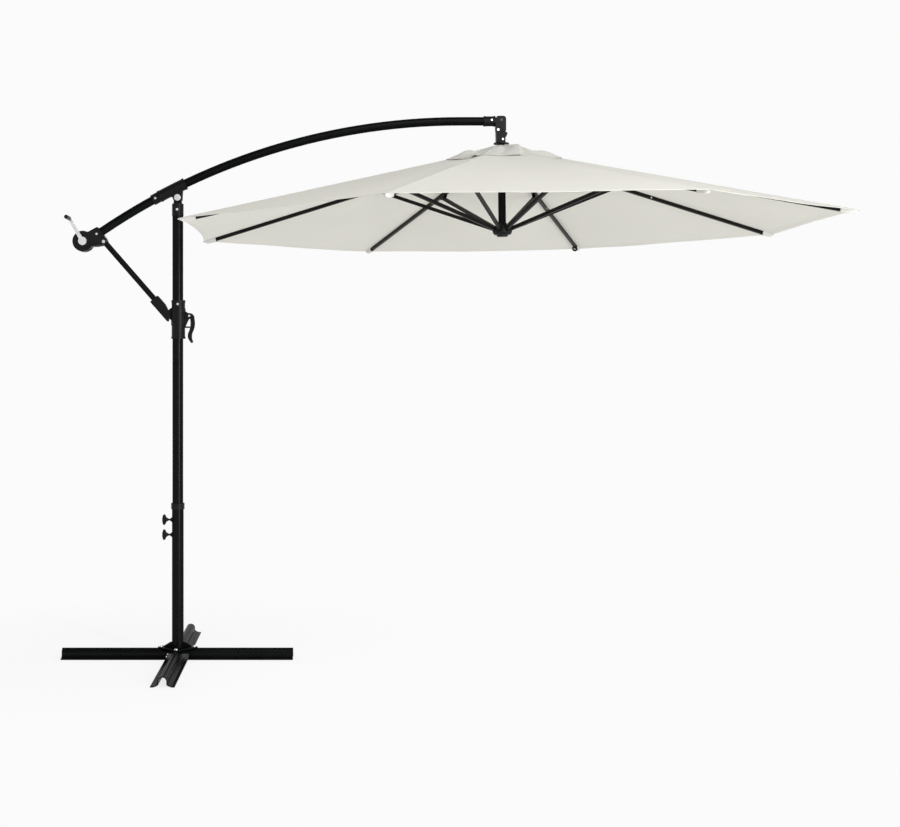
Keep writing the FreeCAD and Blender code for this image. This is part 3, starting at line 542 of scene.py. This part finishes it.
def vent_lift(angle, outward):
    """Height of the loosely gathered vent cap above the cloth, round the column and outward."""
    degrees = math.degrees(angle)
    lift = VENT_LIFT_COLUMN + (VENT_LIFT_RIM - VENT_LIFT_COLUMN) * outward
    for middle, before, after, place, spread, height, turn in VENT_FOLDS:
        off = (degrees - middle - turn * (1 - outward) + 180) % 360 - 180
        width = before if off < 0 else after
        lift += height * bell(off, width) * bell(outward - place, spread) * MM
    creases = sum(height * math.sin(count * angle + shift) for height, count, shift in VENT_CREASES)
    return lift + creases * math.sin(math.pi * min(outward * 1.1, 1.0)) * MM


def vent_half_row(number, sign, outward):
    """Grid entries from the rib line to mid-panel, on one side of a rib."""
    distance = (VENT_INNER + (VENT_RADIUS - VENT_INNER) * outward) * math.cos(HALF_ANGLE)
    reach = distance * math.tan(HALF_ANGLE)
    half = (SEAM_CLOTH if outward == VENT_SEAM_AT else CLOTH) / 2
    half_row = []
    for k in range(VENT_COLUMNS + 1):
        share = 1 - k / VENT_COLUMNS
        flat = panel_point(number, sign, distance / APOTHEM, distance, share)
        middle = flat + UP * vent_lift(compass(flat), outward)
        cloth_place = (sign * reach * (1 - share), distance)
        hem_place = (share * reach, (1 - outward) * (VENT_RADIUS - VENT_INNER))
        half_row.append((middle, half, cloth_place, hem_place))
    return half_row


def make_vent_sector(number):
    places = [k / VENT_ROWS for k in range(VENT_ROWS)] + [VENT_SEAM_AT, 1.0]
    grid = [whole_row(*[vent_half_row(number, sign, outward) for sign in (-1, 1)]) for outward in places]
    return closed_sheet("canopy_vent_%d" % number, grid)


# Pockets, in mm: (distance along the rib, share of the full width, depth under the rib's hinge line).
POCKET_STATIONS = ((1416, 1.0, 23.0), (1424, 1.0, 23.0), (1445, 1.0, 21.4), (1468, 0.92, 18.8),
                   (1475, 0.7, 13.5), (1482, 0.45, 8.5), (1489, 0.2, 4.6))
POCKET_HALF = 9.2
POCKET_FLANGE = 9
POCKET_TOP = -3.6
# Where the pocket lies on the cloth's pattern: its sewn row on one flange, and no hem rows.
POCKET_ACROSS = 20 * MM
POCKET_FROM_HEM = 50 * MM


def make_pocket(number):
    """Sewn pocket under the cloth's corner that holds the rib's end."""
    mesh = bmesh.new()
    cloth_layer = mesh.loops.layers.uv.new("cloth")
    hem_layer = mesh.loops.layers.uv.new("hem")
    lines = []
    for distance, narrow, depth in POCKET_STATIONS:
        half = POCKET_HALF * narrow
        right = [(half - 2.5, 0.6 - depth), (half, 3 - depth), (half, POCKET_TOP - 3),
                 (half + 1.5, POCKET_TOP - 0.5), (half + POCKET_FLANGE * narrow, POCKET_TOP)]
        left = [(-side, rise) for side, rise in reversed(right)]
        lines.append([mesh.verts.new(on_rib(number, distance * MM, side * MM, rise * MM))
                      for side, rise in left + [(0, -depth)] + right])
    for i in range(len(lines) - 1):
        for j in range(len(lines[0]) - 1):
            mesh.faces.new((lines[i][j], lines[i][j + 1], lines[i + 1][j + 1], lines[i + 1][j]))
    mesh.faces.new(lines[-1])
    for face in mesh.faces:
        face.smooth = True
        for loop in face.loops:
            place = loop.vert.co - hub
            along = place.dot(rib_ways[number])
            loop[cloth_layer].uv = (place.dot(rib_sides[number]) + POCKET_ACROSS, along)
            loop[hem_layer].uv = (along, POCKET_FROM_HEM)
    bmesh.ops.recalc_face_normals(mesh, faces=mesh.faces)
    pocket = finished("canopy_pocket_%d" % number, mesh, CLOTH_MATERIAL)
    skin = pocket.modifiers.new("skin", "SOLIDIFY")
    skin.thickness = CLOTH
    skin.offset = 0.0
    return pocket


def make_canopy():
    for number in RIBS:
        body = "rib_%d" % number
        sector = make_canopy_sector(number)
        vent = make_vent_sector(number)
        pocket = make_pocket(number)
        for piece in (sector, vent, pocket):
            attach(piece, body)
        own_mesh(sector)
        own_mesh(vent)
        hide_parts("canopy_panel_%d" % number)


# ------------------------------------------------------------ fittings under the canopy

def solid_from_rings(mesh, rings, closed_round):
    """Closed skin through rings of points; each ring is a loop, and the last joins the first if asked."""
    made = [[mesh.verts.new(point) for point in ring] for ring in rings]
    count = len(made[0])
    pairs = list(zip(made, made[1:] + made[:1])) if closed_round else list(zip(made, made[1:]))
    for one, two in pairs:
        for j in range(count):
            k = (j + 1) % count
            mesh.faces.new((one[j], one[k], two[k], two[j]))
    if not closed_round:
        mesh.faces.new(made[0][::-1])
        mesh.faces.new(made[-1])


def swept_profile(centre, first, second, up, profile, start, end, steps):
    """Rings of an outline, (radius, height) in mm, swept round a centre from one angle to another."""
    rings = []
    for k in range(steps):
        angle = start + (end - start) * k / (steps - 1)
        way = first * math.cos(angle) + second * math.sin(angle)
        rings.append([centre + way * radius * MM + up * height * MM for radius, height in profile])
    return rings


def turned_profile(centre, first, second, up, profile, steps):
    """Rings of an outline through a whole turn, up to the one that meets the first again."""
    end = 2 * math.pi * (steps - 1) / steps
    return swept_profile(centre, first, second, up, profile, 0.0, end, steps)


RUNNER_DROP = 352 * MM
BOWL_OUTLINE = ((17.3, -26), (24, -26), (24, -31), (23, -32.5), (17.3, -33), (0.5, -33), (0.5, -12),
                (17.3, -12))
BOWL_WALL = ((17.3, -26.2), (27, -26.2), (35, -24), (40.5, -19), (43, -12), (43.2, -9), (17.3, -9))
BOSS_WALL = ((17.3, -12), (21, -12), (21, 28), (20, 29), (17.3, 29))
TOOTH_OUTLINE = ((24, -12), (43.2, -12), (44, -4), (43.6, 10), (41.5, 13.5), (31, 13.5), (27, 10), (24, 2))
TOOTH_HALF_ANGLE = math.radians(11.5)


def make_runner_bowl():
    """Rounded bowl on the column's foot, with a tooth between every two stretchers."""
    mesh = bmesh.new()
    centre = hub - UP * RUNNER_DROP
    ahead = rib_ways[1]
    beside = rib_sides[1]
    for profile in (BOWL_OUTLINE, BOWL_WALL, BOSS_WALL):
        rings = turned_profile(centre, ahead, beside, UP, profile, steps=64)
        solid_from_rings(mesh, rings, True)
    for number in RIBS:
        middle = (2 * number - 1) * HALF_ANGLE
        rings = swept_profile(centre, ahead, beside, UP, TOOTH_OUTLINE, middle - TOOTH_HALF_ANGLE,
                              middle + TOOTH_HALF_ANGLE, steps=8)
        solid_from_rings(mesh, rings, False)
    smoothed(mesh)
    bowl = finished("runner_bowl", mesh, PLASTIC)
    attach(bowl, "runner")
    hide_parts("runner_hub")


TIE_RING_RIB = 2
TIE_RING_OUT = 1.400
TIE_RING_DROP = 27 * MM
RING_OUTLINE = ((6.5, -2.5), (7.5, -3.5), (13, -3.5), (15, -2), (15, 2), (13, 3.5), (7.5, 3.5), (6.5, 2.5))


def make_tie_ring():
    """Moulded ring on one rib's end, for the tie that holds the folded canopy."""
    mesh = bmesh.new()
    centre = on_rib(TIE_RING_RIB, TIE_RING_OUT, 0.0, -TIE_RING_DROP)
    inward = (-rib_ways[TIE_RING_RIB] - UP * 0.5).normalized()
    beside = rib_sides[TIE_RING_RIB]
    rings = turned_profile(centre, beside, beside.cross(inward), inward, RING_OUTLINE, steps=40)
    solid_from_rings(mesh, rings, True)
    smoothed(mesh)
    ring = finished("tie_ring", mesh, PLASTIC)
    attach(ring, "rib_%d" % TIE_RING_RIB)


RIVET_OUTLINE = ((0.3, 0.0), (4.6, 0.0), (4.4, 1.0), (3.2, 1.9), (1.6, 2.3), (0.3, 2.4))
RIVET_OUT = 0.760
RIVET_SIDE = 6.4 * MM
RIVET_DROP = 12 * MM


def make_rib_rivets():
    """Domed rivet on one side of every rib, just past its middle."""
    for number in RIBS:
        mesh = bmesh.new()
        centre = on_rib(number, RIVET_OUT, -RIVET_SIDE, -RIVET_DROP)
        rings = turned_profile(centre, rib_ways[number], UP, -rib_sides[number], RIVET_OUTLINE, steps=24)
        solid_from_rings(mesh, rings, True)
        smoothed(mesh)
        rivet = finished("rib_rivet_%d" % number, mesh, ZINC)
        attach(rivet, "rib_%d" % number)


# ------------------------------------------------------------ studio

# Brightness of the white all round, and of the room's ceiling on the camera's side.
BACKDROP = 0.965
CEILING = 0.20
# The ceiling begins and is full at these heights of a sight line, tilted towards the camera.
CEILING_TILT = 0.6
CEILING_FROM, CEILING_TO = 0.62, 0.95
# The floor takes shadow near the base: its share of glow there, and where it has become all glow.
FLOOR_GLOW = 0.84
FADE_FROM, FADE_TO = 0.4, 2.0
FLOOR_HALF = 30.0
FLOOR_DROP = 0.2 * MM
# (name, place, power, width, height), all turned towards the same point
LIGHTS = (("key", (1.8, -5.0, 5.6), 105.0, 3.4, 3.4), ("softbox", (3.3, -4.3, 1.7), 230.0, 0.5, 3.4))
LIGHTS_AIM = Vector((0.9, 0.0, 1.4))


def make_floor():
    """Matt white floor that fades into the backdrop away from the base."""
    mesh = bmesh.new()
    bmesh.ops.create_grid(mesh, x_segments=1, y_segments=1, size=FLOOR_HALF)
    material, tree, shader = new_material("studio_floor")
    where = place_in_object(tree)
    speckle = noise_at(tree, where, 1.5, 2.0)
    tone = ramp(tree, speckle, ((0.0, (0.93, 0.93, 0.93)), (1.0, (0.95, 0.95, 0.95))))
    plug(tree, shader.inputs["Base Color"], tone)
    shader.inputs["Roughness"].default_value = 0.9
    shader.inputs["Specular IOR Level"].default_value = 0.1
    away = tree.nodes.new("ShaderNodeVectorMath")
    away.operation = "LENGTH"
    tree.links.new(where, away.inputs[0])
    fade = tree.nodes.new("ShaderNodeMapRange")
    fade.interpolation_type = "SMOOTHSTEP"
    fade.inputs["From Min"].default_value = FADE_FROM
    fade.inputs["From Max"].default_value = FADE_TO
    fade.inputs["To Min"].default_value = FLOOR_GLOW
    tree.links.new(away.outputs["Value"], fade.inputs["Value"])
    glow = tree.nodes.new("ShaderNodeEmission")
    glow.inputs["Strength"].default_value = BACKDROP
    surface_mix(tree, fade.outputs["Result"], shader.outputs[0], glow.outputs[0])
    floor = finished("studio_floor", mesh, material)
    floor.location.z = -FLOOR_DROP


def make_world():
    """White all round, dimmer overhead on the camera's side so that the cloth's top keeps its tone."""
    world = bpy.data.worlds.new("studio")
    bpy.context.scene.world = world
    world.use_nodes = True
    sky = world.node_tree
    ways = sky.nodes.new("ShaderNodeSeparateXYZ")
    sky.links.new(sky.nodes.new("ShaderNodeTexCoord").outputs["Generated"], ways.inputs[0])
    tilt = calc(sky, "MULTIPLY", ways.outputs["Y"], CEILING_TILT)
    overhead = calc(sky, "SUBTRACT", ways.outputs["Z"], tilt)
    dimming = sky.nodes.new("ShaderNodeMapRange")
    dimming.interpolation_type = "SMOOTHSTEP"
    for name, value in (("From Min", CEILING_FROM), ("From Max", CEILING_TO),
                        ("To Min", BACKDROP), ("To Max", CEILING)):
        dimming.inputs[name].default_value = value
    sky.links.new(overhead, dimming.inputs["Value"])
    backdrop = sky.nodes["Background"]
    backdrop.inputs["Color"].default_value = (1.0, 1.0, 1.0, 1.0)
    sky.links.new(dimming.outputs["Result"], backdrop.inputs["Strength"])


def make_lights():
    for name, place, power, wide, tall in LIGHTS:
        data = bpy.data.lights.new(name, "AREA")
        data.shape = "RECTANGLE"
        data.energy = power
        data.size = wide
        data.size_y = tall
        lamp = bpy.data.objects.new(name, data)
        lamp.location = place
        aim = LIGHTS_AIM - Vector(place)
        lamp.rotation_euler = aim.to_track_quat("-Z", "Y").to_euler()
        bpy.context.scene.collection.objects.link(lamp)


def make_camera():
    """Level camera on the crank's side, standing a little to the canopy's side of the mast."""
    data = bpy.data.cameras.new("camera")
    data.sensor_width = 36.0
    data.lens = 58.16
    data.shift_x = 0.1288
    data.shift_y = -0.0612
    camera = bpy.data.objects.new("camera", data)
    camera.location = (0.698, -6.495, 1.337)
    camera.rotation_euler = (math.radians(90), 0, 0)
    bpy.context.scene.collection.objects.link(camera)
    bpy.context.scene.camera = camera


finish_cad_nodes()
make_canopy()
make_runner_bowl()
make_tie_ring()
make_rib_rivets()
make_floor()
make_world()
make_lights()
make_camera()
bpy.context.scene.view_settings.view_transform = "Standard"
